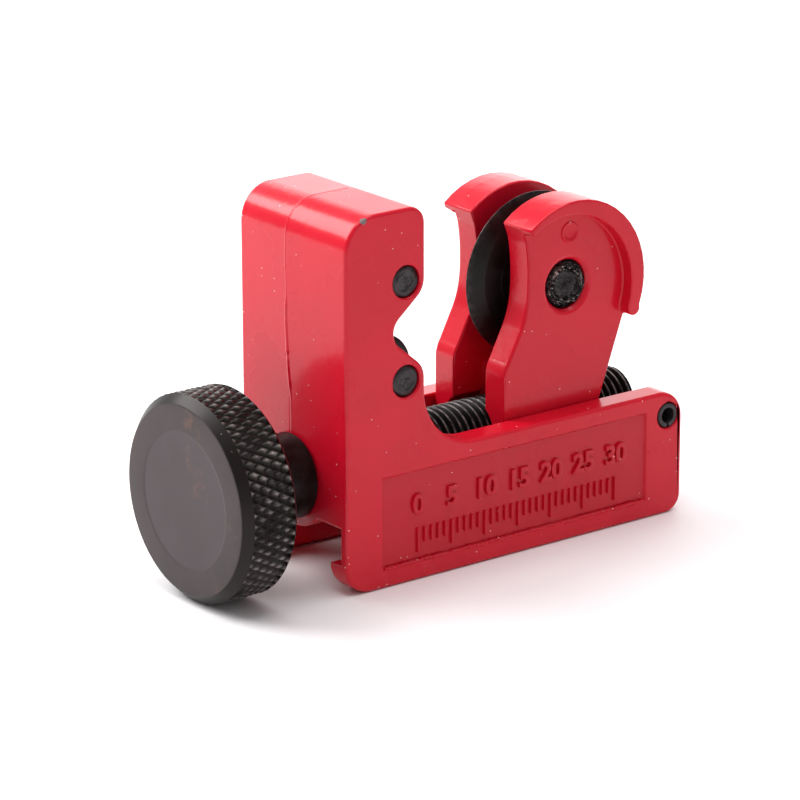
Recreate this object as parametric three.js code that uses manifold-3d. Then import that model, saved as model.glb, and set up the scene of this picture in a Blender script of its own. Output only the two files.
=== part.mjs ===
// Mini pipe cutter: a die-cast frame with two rollers, a carriage with a cutting wheel
// that slides in the frame's channel, and a feed screw with a knurled knob.
//
// Millimetres, +Z up. +X runs from the knob to the open end of the channel, and -Y is
// the marked side. While the parts are drawn, X = 0 is the block's outer face, Y = 0 is
// the middle of the width and Z = 0 is the floor. The whole group is centred at the end.

import * as THREE from 'three';
import { mergeVertices } from 'three/addons/utils/BufferGeometryUtils.js';
import Module from 'manifold-3d';

const wasm = await Module();
wasm.setup();

// ---------------------------------------------------------------- driving dimensions

const FRAME = {
  length: 51, width: 20.4, height: 45,
  blockDepth: 11.2,       // thickness of the tall block along X
  wallHeight: 15.5,       // top of the two channel walls
  edge: 0.45,             // rounding of the cast edges
  panel: { x0: 5.3, x1: 45.2, z0: 2.3, z1: 13.4, depth: 0.35 },
};

const CHANNEL = {
  half: 6.9,              // half the gap between the walls' upper lips
  grooveHalf: 9.0,        // half the width of the T-groove
  grooveLow: 3.6, grooveHigh: 8.1,
  mouthRound: 1.0,        // rounding of the lower lips' inner edges
  bossRadius: 6.2,        // metal left round the screw bore above the tunnel
};

const ROLLER = {
  x: 8.7, zUpper: 36.35, zLower: 24.5,
  radius: 4.4, half: 5.6, chamfer: 0.4,
  bore: 1.98, pin: 1.9, pinHole: 1.95,
  bossRadius: 2.7,        // cheek metal round each pin
  slotHalf: 5.9, slotGap: 0.6,
};

const NOTCH = { slope: THREE.MathUtils.degToRad(50), round: 2.12 };

const SCREW = {
  z: 12.4, radius: 4.0, end: 49.2,
  bore: 4.15, shoulder: 5.1, shoulderStart: -8.05, shoulderEnd: -0.3,
  stub: 3.0, stubStart: -13.3,
  ringStart: 11.55, ringEnd: 12.25, ringRoot: 3.3,
};

const KNOB = { radius: 12.35, start: -15.45, end: -8.15, faceChamfer: 1.1, backChamfer: 0.6 };

const WHEEL = { x: 35.5, z: 30.5, radius: 10.05, hub: 3.9, hubHalf: 2.8, bore: 3.06 };

const AXLE = { radius: 2.95, half: 6.55, earHole: 3.05, sink: 3.5, sinkDepth: 0.5 };

const CARRIAGE = {
  left: 25.95, right: 38.3, bottom: 3.9,
  half: 6.7, slotHalf: 3.0, footHalf: 8.7, footTop: 7.8,
  slotFloor: 19.4, arch: 4.7, archEnd: 30.6, edge: 0.35,
  reliefTop: 14.8,        // the ears overhang the base above this height
};

const RIM = {
  radius: 10.65, inner: 9.8, shiftX: -1.15, shiftZ: -0.8, edge: 0.25,
  half: 8.4, from: THREE.MathUtils.degToRad(131), to: THREE.MathUtils.degToRad(-25),
};

const STOP_PIN = { x: 48.7, z: 12.5, outer: 1.6, inner: 0.95, hole: 1.66, slit: 0.4, reach: 4.5 };

const ROUND = 36;         // segments round a shaft or bore
const FINE = 60;          // segments round the knob and the wheel

// ---------------------------------------------------------------- colours

const MATERIAL = {
  redPaint: { color: 0xc5161f, roughness: 0.28, metalness: 0.0 },
  blackSteel: { color: 0x1b1a1a, roughness: 0.45, metalness: 0.8 },
  knobSteel: { color: 0x3a3431, roughness: 0.55, metalness: 0.75 },
  pinSteel: { color: 0x2e3032, roughness: 0.5, metalness: 0.8 },
  stakedSteel: { color: 0x2a2826, roughness: 0.4, metalness: 0.85 },
};

// ---------------------------------------------------------------- solids

// A closed three.js geometry as a manifold solid.
function solid(geometry) {
  const bare = geometry.clone();
  for (const name of Object.keys(bare.attributes)) {
    if (name !== 'position') bare.deleteAttribute(name);
  }
  const welded = mergeVertices(bare, 1e-4);
  const mesh = new wasm.Mesh({
    numProp: 3,
    vertProperties: new Float32Array(welded.attributes.position.array),
    triVerts: new Uint32Array(welded.index.array),
  });
  return new wasm.Manifold(mesh);
}

function join(first, ...others) {
  return others.reduce((whole, part) => whole.add(part), first);
}

function cut(body, ...tools) {
  return tools.reduce((rest, tool) => rest.subtract(tool), body);
}

// A named mesh from a manifold solid.
function piece(name, shape, look) {
  const mesh = shape.getMesh();
  const geometry = new THREE.BufferGeometry();
  geometry.setAttribute('position', new THREE.BufferAttribute(mesh.vertProperties, 3));
  geometry.setIndex(new THREE.BufferAttribute(mesh.triVerts, 1));
  geometry.computeVertexNormals();
  const result = new THREE.Mesh(geometry, new THREE.MeshStandardMaterial(look));
  result.name = name;
  return result;
}

function box(x0, x1, y0, y1, z0, z1) {
  const geometry = new THREE.BoxGeometry(x1 - x0, y1 - y0, z1 - z0);
  geometry.translate((x0 + x1) / 2, (y0 + y1) / 2, (z0 + z1) / 2);
  return solid(geometry);
}

// A profile drawn in X and Z, carried from y0 to y1, with its two rims rounded by edge.
function plate(shape, y0, y1, edge = 0, curveSegments = 6) {
  const geometry = new THREE.ExtrudeGeometry(shape, {
    depth: y1 - y0 - 2 * edge,
    bevelEnabled: edge > 0,
    bevelThickness: edge,
    bevelSize: edge,
    bevelOffset: -edge,
    bevelSegments: 3,
    curveSegments,
  });
  geometry.rotateX(Math.PI / 2);
  geometry.translate(0, y1 - edge, 0);
  return solid(geometry);
}

// A profile drawn in Y and Z, carried from x0 to x1.
function bar(shape, x0, x1) {
  const geometry = new THREE.ExtrudeGeometry(shape, {
    depth: x1 - x0, bevelEnabled: false, curveSegments: 6,
  });
  geometry.rotateX(Math.PI / 2);
  geometry.rotateZ(Math.PI / 2);
  geometry.translate(x0, 0, 0);
  return solid(geometry);
}

// A turned body whose profile is pairs of [radius, distance along the axis].
function turned(profile, segments) {
  const points = profile.map(([radius, along]) => new THREE.Vector2(radius, along));
  return new THREE.LatheGeometry(points, segments);
}

function turnedAlongX(profile, z, segments = ROUND) {
  const geometry = turned(profile, segments);
  geometry.rotateZ(-Math.PI / 2);
  geometry.translate(0, 0, z);
  return solid(geometry);
}

function turnedAlongY(profile, x, z, segments = ROUND) {
  const geometry = turned(profile, segments);
  geometry.translate(x, 0, z);
  return solid(geometry);
}

function rodProfile(radius, from, to) {
  return [[0, from], [radius, from], [radius, to], [0, to]];
}

function rodAlongX(radius, x0, x1, z) {
  return turnedAlongX(rodProfile(radius, x0, x1), z);
}

function rodAlongY(radius, y0, y1, x, z) {
  return turnedAlongY(rodProfile(radius, y0, y1), x, z);
}

function tubeProfile(inner, outer, from, to, chamfer) {
  return [
    [inner, from], [outer - chamfer, from], [outer, from + chamfer],
    [outer, to - chamfer], [outer - chamfer, to], [inner, to], [inner, from],
  ];
}

function onCircle(x, z, radius, angle) {
  return [x + radius * Math.cos(angle), z + radius * Math.sin(angle)];
}

// ---------------------------------------------------------------- frame

// The V between the rollers: a boss arc round each pin, a slope, and a round root.
function drawNotch(shape) {
  const middle = (ROLLER.zUpper + ROLLER.zLower) / 2;
  const [x, z] = onCircle(ROLLER.x, ROLLER.zUpper, ROLLER.bossRadius, -NOTCH.slope);
  const lean = Math.PI / 2 - NOTCH.slope;
  const apex = x - (z - middle) / Math.tan(lean);
  const centre = apex + NOTCH.round / Math.sin(lean);
  const half = Math.PI / 2 - lean;
  shape.absarc(ROLLER.x, ROLLER.zUpper, ROLLER.bossRadius, 0, -NOTCH.slope, true);
  shape.absarc(centre, middle, NOTCH.round, Math.PI - half, Math.PI + half, false);
  shape.absarc(ROLLER.x, ROLLER.zLower, ROLLER.bossRadius, NOTCH.slope, 0, true);
}

// Side view of the frame, clockwise from the block's lower corner.
function frameOutline() {
  const { length, height, wallHeight } = FRAME;
  const face = ROLLER.x + ROLLER.bossRadius;
  const fillet = 7.5;
  const shape = new THREE.Shape();
  shape.moveTo(3.6, 0);
  shape.absarc(3.6, 3.6, 3.6, -Math.PI / 2, -Math.PI, true);
  shape.absarc(4.2, height - 4.2, 4.2, Math.PI, Math.PI / 2, true);
  shape.absarc(face - 2.1, height - 2.1, 2.1, Math.PI / 2, 0, true);
  drawNotch(shape);
  shape.absarc(face + fillet, wallHeight + fillet, fillet, Math.PI, 1.5 * Math.PI, false);
  shape.absarc(length - 3.4, wallHeight - 3.4, 3.4, Math.PI / 2, 0, true);
  shape.absarc(length - 2.2, 2.2, 2.2, 0, -Math.PI / 2, true);
  shape.closePath();
  return shape;
}

// Section of the open slot and T-groove under the frame.
function grooveSection() {
  const { half, grooveHalf, grooveLow, grooveHigh, mouthRound } = CHANNEL;
  const shape = new THREE.Shape();
  shape.moveTo(-half - mouthRound, -1);
  shape.lineTo(half + mouthRound, -1);
  shape.lineTo(half + mouthRound, 0);
  shape.absarc(half + mouthRound, mouthRound, mouthRound, 1.5 * Math.PI, Math.PI, true);
  shape.lineTo(half, grooveLow);
  shape.lineTo(grooveHalf, grooveLow);
  shape.lineTo(grooveHalf, grooveHigh);
  shape.lineTo(-grooveHalf, grooveHigh);
  shape.lineTo(-grooveHalf, grooveLow);
  shape.lineTo(-half, grooveLow);
  shape.absarc(-half - mouthRound, mouthRound, mouthRound, 0, -Math.PI / 2, true);
  shape.closePath();
  return shape;
}

function makeFrame() {
  const { length, width, blockDepth, panel, edge } = FRAME;
  const side = width / 2;
  const reach = ROLLER.radius + ROLLER.slotGap;
  const body = plate(frameOutline(), -side, side, edge);
  const channel = box(blockDepth, length + 1, -CHANNEL.half, CHANNEL.half, -1, 26);
  const groove = bar(grooveSection(), -1, length + 1);
  const boss = rodAlongX(CHANNEL.bossRadius, 0, blockDepth, SCREW.z);
  const rollerSlot = box(
    ROLLER.x - reach, blockDepth + 2, -ROLLER.slotHalf, ROLLER.slotHalf,
    ROLLER.zLower - reach, ROLLER.zUpper + reach,
  );
  const recess = box(panel.x0, panel.x1, -side - 1, -side + panel.depth, panel.z0, panel.z1);
  const opened = cut(body, channel, groove, rollerSlot, recess);
  return cut(
    join(opened, boss),
    rodAlongX(SCREW.bore, -1, blockDepth + 1, SCREW.z),
    rodAlongY(ROLLER.pinHole, -side - 1, side + 1, ROLLER.x, ROLLER.zUpper),
    rodAlongY(ROLLER.pinHole, -side - 1, side + 1, ROLLER.x, ROLLER.zLower),
    rodAlongY(STOP_PIN.hole, -side - 1, side + 1, STOP_PIN.x, STOP_PIN.z),
  );
}

// ---------------------------------------------------------------- rollers and pins

function makeRoller(z) {
  const { bore, radius, half, chamfer, x } = ROLLER;
  return turnedAlongY(tubeProfile(bore, radius, -half, half, chamfer), x, z);
}

function makeRollerPin(z) {
  const half = FRAME.width / 2 - 0.05;
  return rodAlongY(ROLLER.pin, -half, half, ROLLER.x, z);
}

// A rolled spring pin: a tube with a slit along its length.
function makeStopPin(side) {
  const { x, z, outer, inner, slit, reach } = STOP_PIN;
  const outerEnd = FRAME.width / 2 - 0.05;
  const ends = [side * outerEnd, side * reach].sort((a, b) => a - b);
  const tube = turnedAlongY(tubeProfile(inner, outer, ends[0], ends[1], 0.12), x, z, 28);
  return cut(tube, box(x - slit / 2, x + slit / 2, ends[0] - 1, ends[1] + 1, z - 3, z));
}

// ---------------------------------------------------------------- carriage

// Side view of the base and the ears, clockwise from the lower left.
function earOutline() {
  const { left, right, bottom, reliefTop } = CARRIAGE;
  const shape = new THREE.Shape();
  shape.moveTo(left, bottom);
  shape.lineTo(left, 20.4);
  shape.quadraticCurveTo(left, 21.4, 26.6, 22.4);
  shape.lineTo(28.5, 26.1);
  shape.quadraticCurveTo(29.5, 28.2, 29.6, 31.0);
  shape.quadraticCurveTo(29.7, 34.4, 29.15, 36.9);
  shape.lineTo(...onCircle(WHEEL.x, WHEEL.z, RIM.radius, RIM.from));
  shape.absarc(WHEEL.x, WHEEL.z, RIM.radius, RIM.from, RIM.to, true);
  shape.lineTo(44.4, 25.3);
  shape.lineTo(40.6, reliefTop);
  shape.lineTo(right, reliefTop);
  shape.lineTo(right, bottom);
  shape.closePath();
  return shape;
}

// The raised rim on an ear: a crescent between the ear's edge and an offset circle.
function rimOutline() {
  const x = WHEEL.x + RIM.shiftX;
  const z = WHEEL.z + RIM.shiftZ;
  const start = onCircle(WHEEL.x, WHEEL.z, RIM.radius, RIM.from);
  const shape = new THREE.Shape();
  shape.moveTo(...start);
  shape.absarc(WHEEL.x, WHEEL.z, RIM.radius, RIM.from, RIM.to + 0.08, true);
  shape.absarc(44.6, 26.35, 0.9, -0.2, -Math.PI * 0.9, true);
  shape.absarc(x, z, RIM.inner, -0.3, Math.PI * 0.69, false);
  shape.closePath();
  return shape;
}

// The slot that the wheel runs in, with a lower mouth where the screw comes in.
function wheelSlot() {
  const { left, archEnd, slotFloor, slotHalf } = CARRIAGE;
  const low = box(left - 1, archEnd, -slotHalf, slotHalf, SCREW.z, slotFloor + 1);
  const high = box(left - 1, 60, -slotHalf, slotHalf, slotFloor, 60);
  return join(low, high);
}

function makeCarriage() {
  const { left, right, bottom, half, footHalf, footTop, arch, archEnd, edge } = CARRIAGE;
  const { earHole, sink, sinkDepth } = AXLE;
  const holes = [
    [0, -half - 1], [sink + 0.05, -half - 1], [sink, -half], [earHole, -half + sinkDepth],
    [earHole, half - sinkDepth], [sink, half], [sink + 0.05, half + 1], [0, half + 1],
  ];
  const body = join(
    plate(earOutline(), -half, half, edge, 9),
    plate(rimOutline(), -RIM.half, -half + 0.6, RIM.edge, 9),
    plate(rimOutline(), half - 0.6, RIM.half, RIM.edge, 9),
    box(left, right, -footHalf, footHalf, bottom, footTop),
  );
  return cut(
    body,
    wheelSlot(),
    rodAlongX(SCREW.bore, left - 1, 60, SCREW.z),
    rodAlongX(arch, left - 1, archEnd, SCREW.z),
    turnedAlongY(holes, WHEEL.x, WHEEL.z),
  );
}

// The wheel turns on this pin. Its ends are upset over the ears' countersinks.
function makeAxle() {
  const { radius, half } = AXLE;
  const profile = [
    [0, -half], [radius - 0.5, -half], [radius, -half + 0.35],
    [radius, half - 0.35], [radius - 0.5, half], [0, half],
  ];
  return turnedAlongY(profile, WHEEL.x, WHEEL.z);
}

function makeWheel() {
  const { radius, hub, hubHalf, bore, x, z } = WHEEL;
  const half = [
    [hub - 0.3, hubHalf], [hub, hubHalf - 0.3], [hub, 1.7], [hub + 0.25, 1.3],
    [hub + 0.9, 1.05], [radius - 1.5, 0.66], [radius, 0.06],
  ];
  const profile = [
    [bore, -hubHalf],
    ...half.map(([r, along]) => [r, -along]),
    ...half.slice().reverse(),
    [bore, hubHalf],
    [bore, -hubHalf],
  ];
  return turnedAlongY(profile, x, z, FINE);
}

// ---------------------------------------------------------------- screw and knob

function makeFeedScrew() {
  const { radius, shoulder, shoulderStart, shoulderEnd, stub, stubStart } = SCREW;
  const { ringStart, ringEnd, ringRoot, end, z } = SCREW;
  const profile = [
    [0, stubStart], [stub, stubStart], [stub, shoulderStart], [shoulder, shoulderStart],
    [shoulder, shoulderEnd], [radius, shoulderEnd], [radius, ringStart],
    [ringRoot, ringStart], [ringRoot, ringEnd], [radius, ringEnd],
    [radius, end - 0.7], [radius - 0.7, end], [0, end],
  ];
  return turnedAlongX(profile, z);
}

// An open retaining ring that snaps into the screw's groove and bears on the block.
function makeRetainingRing() {
  const { ringStart, ringEnd, ringRoot, z } = SCREW;
  const ring = turnedAlongX(
    tubeProfile(ringRoot + 0.05, 5.4, ringStart + 0.05, ringEnd - 0.05, 0.08), z, 32,
  );
  return cut(ring, box(ringStart - 1, ringEnd + 1, -2.6, 2.6, z - 8, z));
}

function makeKnob() {
  const { radius, start, end, faceChamfer, backChamfer } = KNOB;
  const hole = SCREW.stub + 0.05;
  const bottom = SCREW.stubStart - 0.1;
  const profile = [
    [0, start], [radius - faceChamfer, start], [radius, start + faceChamfer],
    [radius, end - backChamfer], [radius - backChamfer, end],
    [hole, end], [hole, bottom], [0, bottom],
  ];
  return turnedAlongX(profile, SCREW.z, FINE);
}

// ---------------------------------------------------------------- assembly

const pipeCutter = new THREE.Group();
pipeCutter.add(
  piece('frame', makeFrame(), MATERIAL.redPaint),
  piece('upper_roller', makeRoller(ROLLER.zUpper), MATERIAL.blackSteel),
  piece('lower_roller', makeRoller(ROLLER.zLower), MATERIAL.blackSteel),
  piece('upper_roller_pin', makeRollerPin(ROLLER.zUpper), MATERIAL.pinSteel),
  piece('lower_roller_pin', makeRollerPin(ROLLER.zLower), MATERIAL.pinSteel),
  piece('front_stop_pin', makeStopPin(-1), MATERIAL.blackSteel),
  piece('back_stop_pin', makeStopPin(1), MATERIAL.blackSteel),
  piece('carriage', makeCarriage(), MATERIAL.redPaint),
  piece('wheel_axle', makeAxle(), MATERIAL.stakedSteel),
  piece('cutter_wheel', makeWheel(), MATERIAL.blackSteel),
  piece('feed_screw', makeFeedScrew(), MATERIAL.blackSteel),
  piece('retaining_ring', makeRetainingRing(), MATERIAL.blackSteel),
  piece('knurled_knob', makeKnob(), MATERIAL.knobSteel),
);

// The origin is the middle of the footprint, on the floor.
pipeCutter.position.x = -(KNOB.start + FRAME.length) / 2;

export default pipeCutter;
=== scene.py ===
"""Mini pipe cutter built in Blender on its CAD frame: red castings, black steel, knurled knob."""

import bmesh
import bpy
import numpy as np
from mathutils import Matrix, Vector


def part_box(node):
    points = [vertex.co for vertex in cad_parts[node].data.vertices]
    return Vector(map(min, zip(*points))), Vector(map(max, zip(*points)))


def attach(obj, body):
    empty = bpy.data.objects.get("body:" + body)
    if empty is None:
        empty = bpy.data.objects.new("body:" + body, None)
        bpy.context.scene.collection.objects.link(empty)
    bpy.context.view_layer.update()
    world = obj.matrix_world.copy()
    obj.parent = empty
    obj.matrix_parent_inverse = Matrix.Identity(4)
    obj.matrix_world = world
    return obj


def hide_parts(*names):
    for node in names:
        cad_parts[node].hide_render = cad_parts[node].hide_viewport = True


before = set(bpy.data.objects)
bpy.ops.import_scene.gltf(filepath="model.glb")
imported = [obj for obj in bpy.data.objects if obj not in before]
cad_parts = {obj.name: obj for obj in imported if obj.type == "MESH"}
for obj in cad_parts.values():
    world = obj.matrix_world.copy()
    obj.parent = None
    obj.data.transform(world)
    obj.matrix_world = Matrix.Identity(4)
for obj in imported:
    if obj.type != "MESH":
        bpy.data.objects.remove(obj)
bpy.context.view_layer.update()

bl_info = {
    "name": "Pipe Cutter",
    "version": (1, 0, 0),
    "blender": (4, 5, 0),
    "location": "3D View > Sidebar > Cutter",
    "description": "Builds a mini pipe cutter on its CAD frame",
    "category": "Add Mesh",
}

MM = 0.001
TURN = 2 * np.pi


# Measures of the CAD nodes


def corners_of(node):
    """The node's lowest and highest corners as two arrays."""
    low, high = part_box(node)
    return np.array(low), np.array(high)


def middle_of(node):
    low, high = corners_of(node)
    return (low + high) / 2


def half_size_of(node):
    low, high = corners_of(node)
    return (high - low) / 2


# Surfaces


def grid_faces(rows, columns, wrap_rows=False, wrap_columns=False):
    """Quads between point (i, j), (i, j+1), (i+1, j+1) and (i+1, j) of a grid."""
    i = np.arange(rows if wrap_rows else rows - 1)[:, None]
    j = np.arange(columns if wrap_columns else columns - 1)[None, :]
    row = i * columns
    next_row = (i + 1) % rows * columns
    next_j = (j + 1) % columns
    quads = np.broadcast_arrays(row + j, row + next_j, next_row + next_j, next_row + j)
    return np.stack(quads, axis=-1).reshape(-1, 4)


def tube_faces(rows, columns):
    """The side between rows that are closed loops, and a face on the first and last row."""
    rim = np.arange(columns)
    last = (rows - 1) * columns
    return [grid_faces(rows, columns, False, True), rim[None, ::-1], rim[None, :] + last]


def rounded(corners, radius, closed=False, steps=3):
    """A corner P becomes (1-t)^2 A + 2t(1-t) P + t^2 B, with A and B `radius` away on its sides."""
    corner = np.asarray(corners, float)
    before = np.roll(corner, 1, axis=0)
    after = np.roll(corner, -1, axis=0)
    reach = np.broadcast_to(np.asarray(radius, float), len(corner)).copy()
    if not closed:
        before[0] = corner[0]
        after[-1] = corner[-1]
        reach[[0, -1]] = 0.0

    def toward(other):
        """The point `reach` from the corner, or at most 0.45 of the way to the other one."""
        gap = other - corner
        length = np.linalg.norm(gap, axis=1)
        share = np.minimum(reach, 0.45 * length) / np.maximum(length, 1e-12)
        return (corner + gap * share[:, None])[:, None]

    t = np.linspace(0.0, 1.0, steps + 1)[None, :, None]
    bend = 2 * t * (1 - t) * corner[:, None]
    curve = (1 - t) ** 2 * toward(before) + bend + t**2 * toward(after)
    points = curve.reshape(-1, 2)
    gap = np.linalg.norm(points - np.roll(points, 1, axis=0), axis=1)
    keep = gap > 1e-7
    if not closed:
        keep[0] = True
    return points[keep]


def both_ways(half):
    """Half a profile of (along, radius), followed by its mirror image across along = 0."""
    half = np.asarray(half, float)
    return np.vstack([half, half[::-1] * np.array([-1.0, 1.0])])


def finely(profile, spacing):
    """The same line with points added so that neighbours are at most `spacing` apart."""
    steps = np.linalg.norm(np.diff(profile, axis=0), axis=1)
    distance = np.concatenate([[0.0], np.cumsum(steps)])
    even = np.arange(0.0, distance[-1], spacing)
    clear = np.abs(even[:, None] - distance[None, :]).min(axis=1) > 0.15 * spacing
    station = np.sort(np.concatenate([distance, even[clear]]))
    along = np.interp(station, distance, profile[:, 0])
    radius = np.interp(station, distance, profile[:, 1])
    return np.stack([along, radius], axis=1)


def ends_only(profile, start):
    """The profile's first and last points, and those further than `start` from along = 0."""
    keep = np.abs(profile[:, 0]) > start
    keep[[0, -1]] = True
    return profile[keep]


def smoothly(value, low, high):
    """0 below low, 1 above high, and 3t^2 - 2t^3 between."""
    t = np.clip((value - low) / (high - low), 0.0, 1.0)
    return t * t * (3 - 2 * t)


def turned(profile, centre, axis, columns=96, closed=False, arc=None, swell=None, lift=None):
    """A profile of (along, radius) turned round an axis.

    Point (i, j) is at along[i] on the axis and radius[i] from it, at angle j of `columns` in a full
    turn, or between the two angles of `arc`. swell(along, radius, angle) adds to the radius, and
    lift(along, radius, angle) to the place on the axis. A radius of 0 at either end is one pole.
    """
    profile = np.asarray(profile, float)
    poles = [not closed and profile[end, 1] < 1e-9 for end in (0, -1)]
    rings = profile[int(poles[0]) : len(profile) - int(poles[1])]
    if arc is None:
        angle = np.arange(columns) * TURN / columns
    else:
        angle = np.linspace(arc[0], arc[1], columns)
    along = np.repeat(rings[:, :1], columns, axis=1)
    radius = np.repeat(rings[:, 1:], columns, axis=1)
    angles = np.broadcast_to(angle, along.shape)
    place = along if lift is None else along + lift(along, radius, angles)
    reach = radius if swell is None else radius + swell(along, radius, angles)
    direction = "xyz".index(axis)
    ways = [reach * np.cos(angles), reach * np.sin(angles)]
    ways.insert(direction, place)
    points = np.stack(ways, axis=-1).reshape(-1, 3)
    faces = [grid_faces(len(rings), columns, closed, arc is None)]
    turn = np.arange(columns)
    next_turn = (turn + 1) % columns
    first_ring = (next_turn, turn)
    last_ring = ((len(rings) - 1) * columns + turn, (len(rings) - 1) * columns + next_turn)
    for end, has_pole, ring in ((0, poles[0], first_ring), (-1, poles[1], last_ring)):
        if has_pole:
            pole = np.full(columns, len(points))
            raised = place[end].mean() - along[end].mean()
            tip = np.eye(3)[direction] * (profile[end, 0] + raised)
            points = np.vstack([points, tip])
            faces.append(np.stack([pole, *ring], axis=1))
    if arc is not None:
        row = np.arange(len(rings)) * columns
        faces.append(row[None, ::-1])
        faces.append(row[None, :] + columns - 1)
    return points + np.asarray(centre, float), faces


def embossed(outline, origin, levels):
    """A raised shape on a wall that faces -Y: row i is the outline drawn in by inset[i], at height[i].

    outline holds (x, z) points about (0, 0), and levels holds (height, inset) pairs.
    """
    outline = np.asarray(outline, float)
    heights, insets = np.array(levels).T
    size = np.abs(outline).max(axis=0)
    scale = 1.0 - insets[:, None] / size[None, :]
    flat = outline[None, :, :] * scale[:, None, :]
    depth = np.broadcast_to(-heights[:, None], flat.shape[:2])
    points = np.stack([flat[..., 0], depth, flat[..., 1]], axis=-1).reshape(-1, 3)
    return points + np.asarray(origin, float), tube_faces(len(levels), len(outline))


def ridge_section(columns, power, depth):
    """(height, across): cos(across * pi / 2) to a power for across from -1 to 1, on a foot."""
    across = np.linspace(-1, 1, columns)
    hump = np.stack([np.cos(across * np.pi / 2) ** power, across], axis=1)
    return np.vstack([hump, [[-depth, 0.9], [-depth, -0.9]]])


def carried(path, out, side, section, height, width):
    """A section of (a, b) carried along a path: P[i] + a height[i] out[i] + b width[i] side."""
    rise = section[None, :, :1] * height[:, None, None] * out[:, None, :]
    spread = section[None, :, 1:] * width[:, None, None] * np.asarray(side, float)[None, None, :]
    points = (path[:, None, :] + rise + spread).reshape(-1, 3)
    return points, tube_faces(len(path), len(section))


def outward(points, faces):
    """The faces turned so that the volume they enclose is positive: a sum of (a x b) . c / 6."""
    local = points - points.mean(axis=0)
    volume = 0.0
    for group in faces:
        for k in range(1, group.shape[1] - 1):
            a, b, c = (local[group[:, corner]] for corner in (0, k, k + 1))
            volume += float((np.cross(a, b) * c).sum()) / 6
    return [group[:, ::-1] if volume < 0 else group for group in faces]


def joined(surfaces):
    """Several surfaces as one, with each face list moved on by the points before it."""
    points = []
    faces = []
    count = 0
    for surface_points, surface_faces in surfaces:
        faces += [group + count for group in outward(surface_points, surface_faces)]
        points.append(surface_points)
        count += len(surface_points)
    return np.vstack(points), faces


def rough(first, second, seed, terms, low, high):
    """Unevenness between about -1 and 1: a seeded sum of sin(a * first + b * second + phase)."""
    numbers = np.random.default_rng(seed)
    a = numbers.uniform(-high, high, terms)
    b = np.round(numbers.uniform(low, high, terms))
    phase = numbers.uniform(0, TURN, terms)
    waves = np.sin(first[..., None] * a + second[..., None] * b + phase)
    return waves.sum(axis=-1) / np.sqrt(terms)


# Meshes and pieces


def add_piece(mesh, material, body, nodes, sharp_angle=38.0):
    """Puts a finished mesh in the scene, smooth apart from its sharp edges, riding on a CAD body."""
    mesh.polygons.foreach_set("use_smooth", np.ones(len(mesh.polygons), bool))
    mesh.set_sharp_from_angle(angle=np.radians(sharp_angle))
    mesh.materials.clear()
    mesh.materials.append(material_for(material))
    piece = bpy.data.objects.new(mesh.name, mesh)
    bpy.context.scene.collection.objects.link(piece)
    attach(piece, body)
    if nodes:
        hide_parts(*nodes)
    return piece


def surface_mesh(name, points, faces):
    polygons = []
    for group in outward(points, faces):
        polygons += group.tolist()
    mesh = bpy.data.meshes.new(name)
    mesh.from_pydata(points.tolist(), [], polygons)
    mesh.validate()
    return mesh


def add_surface(name, surface, material, body, nodes, slot, sharp_angle=38.0, **values):
    """A surface as a piece; each further array is a named value a point, such as crest."""
    mesh = surface_mesh(name, *surface)
    for label, value in values.items():
        attribute = mesh.attributes.new(label, "FLOAT", "POINT")
        attribute.data.foreach_set("value", value.astype(np.float32))
    return add_piece(mesh, material, body, nodes, sharp_angle)


def add_softened(node, name, material, body, edge):
    """The node's own mesh, its flat faces made whole, with a bevel on its sharp edges."""
    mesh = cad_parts[node].data.copy()
    mesh.name = name
    work = bmesh.new()
    work.from_mesh(mesh)
    bmesh.ops.remove_doubles(work, verts=work.verts, dist=2e-6)
    flat = np.radians(0.6)
    bmesh.ops.dissolve_limit(work, angle_limit=flat, verts=work.verts, edges=work.edges)
    work.to_mesh(mesh)
    work.free()
    piece = add_piece(mesh, material, body, [node], 34.0)
    bevel = piece.modifiers.new("Edges", "BEVEL")
    bevel.width = edge
    bevel.segments = 2
    bevel.limit_method = "ANGLE"
    bevel.angle_limit = np.radians(42.0)
    bevel.use_clamp_overlap = False
    weighted = piece.modifiers.new("Normals", "WEIGHTED_NORMAL")
    weighted.keep_sharp = True
    weighted.weight = 60


# Shader nodes

ORIGIN = (0.0, 0.0, 0.0)


def feed(tree, socket, value):
    """Links a socket to the input; anything else becomes the input's own value."""
    if isinstance(value, bpy.types.NodeSocket):
        tree.links.new(value, socket)
    else:
        socket.default_value = value


def filled_node(tree, kind, **values):
    """A node with its inputs fed by name; returns its outputs."""
    node = tree.nodes.new(kind)
    for label, value in values.items():
        feed(tree, node.inputs[label.replace("_", " ")], value)
    return node.outputs


def calculated(tree, kind, operation, values):
    node = tree.nodes.new(kind)
    node.operation = operation
    for socket, value in zip(node.inputs, values):
        feed(tree, socket, value)
    return node.outputs


def math_node(tree, operation, *values):
    return calculated(tree, "ShaderNodeMath", operation, values)[0]


def vector_node(tree, operation, *values):
    return calculated(tree, "ShaderNodeVectorMath", operation, values)


def distance_from(tree, place, centre):
    offset = vector_node(tree, "SUBTRACT", place, centre)[0]
    return vector_node(tree, "LENGTH", offset)["Value"]


def noise_node(tree, place, scale, detail=2.0, roughness=0.5):
    kind = "ShaderNodeTexNoise"
    noise = filled_node(tree, kind, Vector=place, Scale=scale, Detail=detail, Roughness=roughness)
    return noise["Fac"]


def ramp_node(tree, value, low, high):
    """value from low..high to 0..1, eased at both ends."""
    node = tree.nodes.new("ShaderNodeMapRange")
    node.interpolation_type = "SMOOTHSTEP"
    feed(tree, node.inputs["Value"], value)
    feed(tree, node.inputs["From Min"], low)
    feed(tree, node.inputs["From Max"], high)
    return node.outputs["Result"]


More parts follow.
